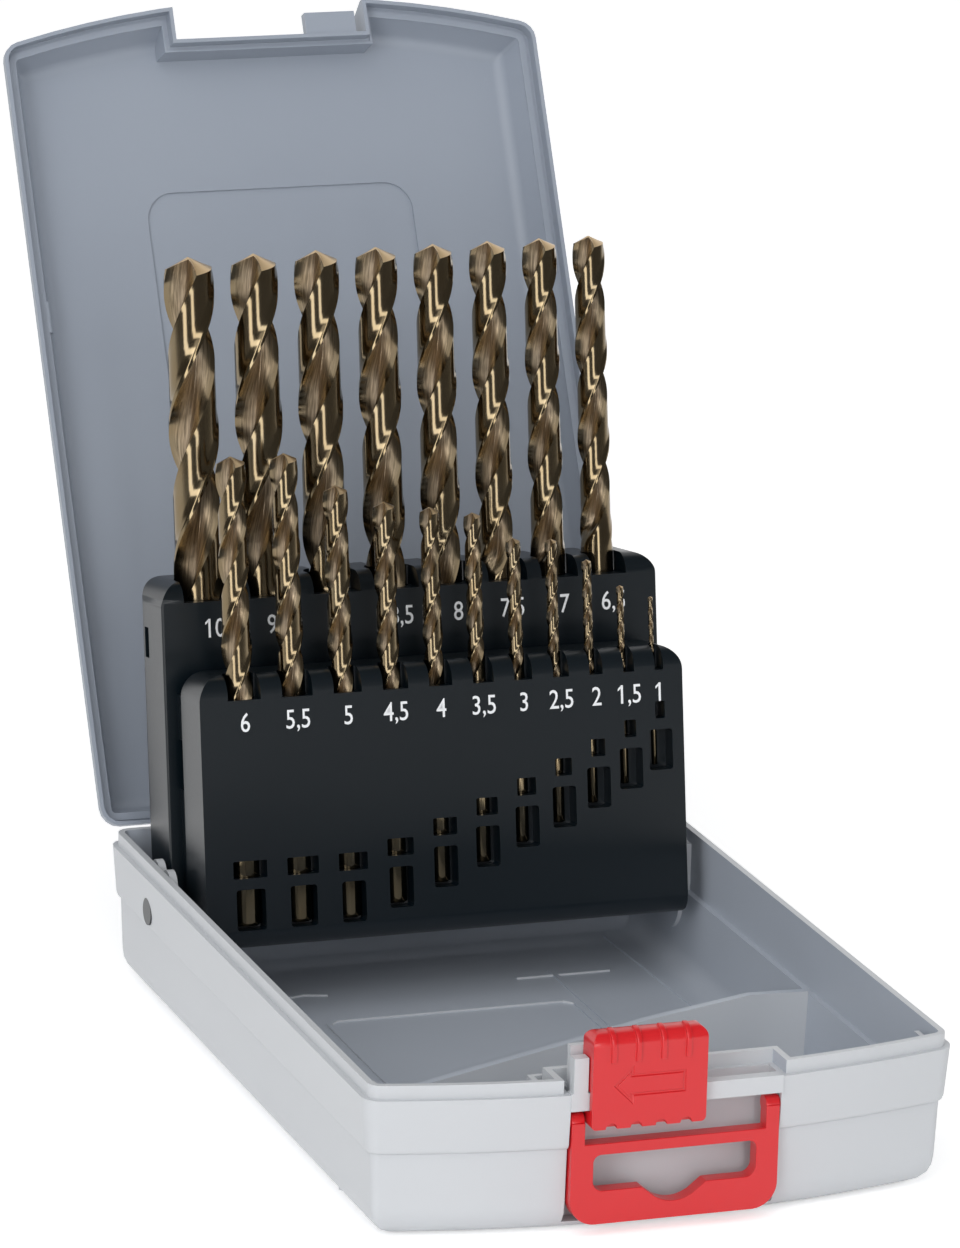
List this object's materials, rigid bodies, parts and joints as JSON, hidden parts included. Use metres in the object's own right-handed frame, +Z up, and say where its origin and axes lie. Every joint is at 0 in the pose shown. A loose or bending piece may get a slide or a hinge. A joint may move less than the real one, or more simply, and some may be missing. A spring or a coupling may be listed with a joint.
{
  "type": "drill bit case",
  "caption": "Hinged plastic case for twist drills: tray, lid, folding two-tier rack, sliding latch, hanger.",
  "frame": {"origin": "centre of the underside of the tray, midway between the rear wall and the front corners", "axes": "+Z up, +X to the right seen from the front, -Y towards the latch"},
  "size_m": [0.116, 0.2647, 0.1806],
  "materials": {
    "tray_plastic": "moulded, light grey",
    "lid_plastic": "moulded, blue grey",
    "rack_plastic": "moulded, black",
    "red_plastic": "moulded, red",
    "pin_steel": "drawn wire",
    "bit_steel": "ground, straw tempered"
  },
  "bodies": {
    "base": {"base_shell": "tray_plastic", "hinge_pin_left": "pin_steel", "hinge_pin_right": "pin_steel"},
    "lid": {"lid_shell": "lid_plastic"},
    "rack": {"rack_rear_tier": "rack_plastic", "rack_front_tier": "rack_plastic"},
    "latch": {"latch_slider": "red_plastic"},
    "hanger": {"hang_handle": "red_plastic"},
    "bit_10_0": {"drill_bit_10_0": "bit_steel"},
    "bit_9_5": {"drill_bit_9_5": "bit_steel"},
    "bit_9_0": {"drill_bit_9_0": "bit_steel"},
    "bit_8_5": {"drill_bit_8_5": "bit_steel"},
    "bit_8_0": {"drill_bit_8_0": "bit_steel"},
    "bit_7_5": {"drill_bit_7_5": "bit_steel"},
    "bit_7_0": {"drill_bit_7_0": "bit_steel"},
    "bit_6_5": {"drill_bit_6_5": "bit_steel"},
    "bit_6_0": {"drill_bit_6_0": "bit_steel"},
    "bit_5_5": {"drill_bit_5_5": "bit_steel"},
    "bit_5_0": {"drill_bit_5_0": "bit_steel"},
    "bit_4_5": {"drill_bit_4_5": "bit_steel"},
    "bit_4_0": {"drill_bit_4_0": "bit_steel"},
    "bit_3_5": {"drill_bit_3_5": "bit_steel"},
    "bit_3_0": {"drill_bit_3_0": "bit_steel"},
    "bit_2_5": {"drill_bit_2_5": "bit_steel"},
    "bit_2_0": {"drill_bit_2_0": "bit_steel"},
    "bit_1_5": {"drill_bit_1_5": "bit_steel"},
    "bit_1_0": {"drill_bit_1_0": "bit_steel"}
  },
  "joints": [
    {"name": "lid_hinge", "type": "hinge", "parent": "base", "child": "lid", "pos_m": [0, 0.0842, 0.0278], "axis": [1, 0, 0], "range_deg": [0, 118]},
    {"name": "rack_pivot", "type": "hinge", "parent": "base", "child": "rack", "pos_m": [0, 0.056, 0.0208], "axis": [1, 0, 0], "range_deg": [0, 99.45]},
    {"name": "latch_slide", "type": "slide", "parent": "base", "child": "latch", "axis": [1, 0, 0], "range_m": [0, 0.0124]},
    {"name": "hanger_hinge", "type": "hinge", "parent": "base", "child": "hanger", "pos_m": [0, -0.0869, 0.0222], "axis": [-1, 0, 0], "range_deg": [0, 90]},
    {"name": "bit_10_0_seat", "type": "slide", "parent": "rack", "child": "bit_10_0", "axis": [0, -0.1642, -0.9864], "range_m": [-0.074, 0]},
    {"name": "bit_9_5_seat", "type": "slide", "parent": "rack", "child": "bit_9_5", "axis": [0, -0.1642, -0.9864], "range_m": [-0.066, 0]},
    {"name": "bit_9_0_seat", "type": "slide", "parent": "rack", "child": "bit_9_0", "axis": [0, -0.1642, -0.9864], "range_m": [-0.066, 0]},
    {"name": "bit_8_5_seat", "type": "slide", "parent": "rack", "child": "bit_8_5", "axis": [0, -0.1642, -0.9864], "range_m": [-0.058, 0]},
    {"name": "bit_8_0_seat", "type": "slide", "parent": "rack", "child": "bit_8_0", "axis": [0, -0.1642, -0.9864], "range_m": [-0.058, 0]},
    {"name": "bit_7_5_seat", "type": "slide", "parent": "rack", "child": "bit_7_5", "axis": [0, -0.1642, -0.9864], "range_m": [-0.05, 0]},
    {"name": "bit_7_0_seat", "type": "slide", "parent": "rack", "child": "bit_7_0", "axis": [0, -0.1642, -0.9864], "range_m": [-0.05, 0]},
    {"name": "bit_6_5_seat", "type": "slide", "parent": "rack", "child": "bit_6_5", "axis": [0, -0.1642, -0.9864], "range_m": [-0.042, 0]},
    {"name": "bit_6_0_seat", "type": "slide", "parent": "rack", "child": "bit_6_0", "axis": [0, -0.1642, -0.9864], "range_m": [-0.055, 0]},
    {"name": "bit_5_5_seat", "type": "slide", "parent": "rack", "child": "bit_5_5", "axis": [0, -0.1642, -0.9864], "range_m": [-0.055, 0]},
    {"name": "bit_5_0_seat", "type": "slide", "parent": "rack", "child": "bit_5_0", "axis": [0, -0.1642, -0.9864], "range_m": [-0.055, 0]},
    {"name": "bit_4_5_seat", "type": "slide", "parent": "rack", "child": "bit_4_5", "axis": [0, -0.1642, -0.9864], "range_m": [-0.0528, 0]},
    {"name": "bit_4_0_seat", "type": "slide", "parent": "rack", "child": "bit_4_0", "axis": [0, -0.1642, -0.9864], "range_m": [-0.0495, 0]},
    {"name": "bit_3_5_seat", "type": "slide", "parent": "rack", "child": "bit_3_5", "axis": [0, -0.1642, -0.9864], "range_m": [-0.0461, 0]},
    {"name": "bit_3_0_seat", "type": "slide", "parent": "rack", "child": "bit_3_0", "axis": [0, -0.1642, -0.9864], "range_m": [-0.0428, 0]},
    {"name": "bit_2_5_seat", "type": "slide", "parent": "rack", "child": "bit_2_5", "axis": [0, -0.1642, -0.9864], "range_m": [-0.0395, 0]},
    {"name": "bit_2_0_seat", "type": "slide", "parent": "rack", "child": "bit_2_0", "axis": [0, -0.1642, -0.9864], "range_m": [-0.0361, 0]},
    {"name": "bit_1_5_seat", "type": "slide", "parent": "rack", "child": "bit_1_5", "axis": [0, -0.1642, -0.9864], "range_m": [-0.0328, 0]},
    {"name": "bit_1_0_seat", "type": "slide", "parent": "rack", "child": "bit_1_0", "axis": [0, -0.1642, -0.9864], "range_m": [-0.0294, 0]}
  ],
  "couplings": [
    {"joint": "rack_pivot", "follows": "lid_hinge", "ratio": 0.8427}
  ]
}
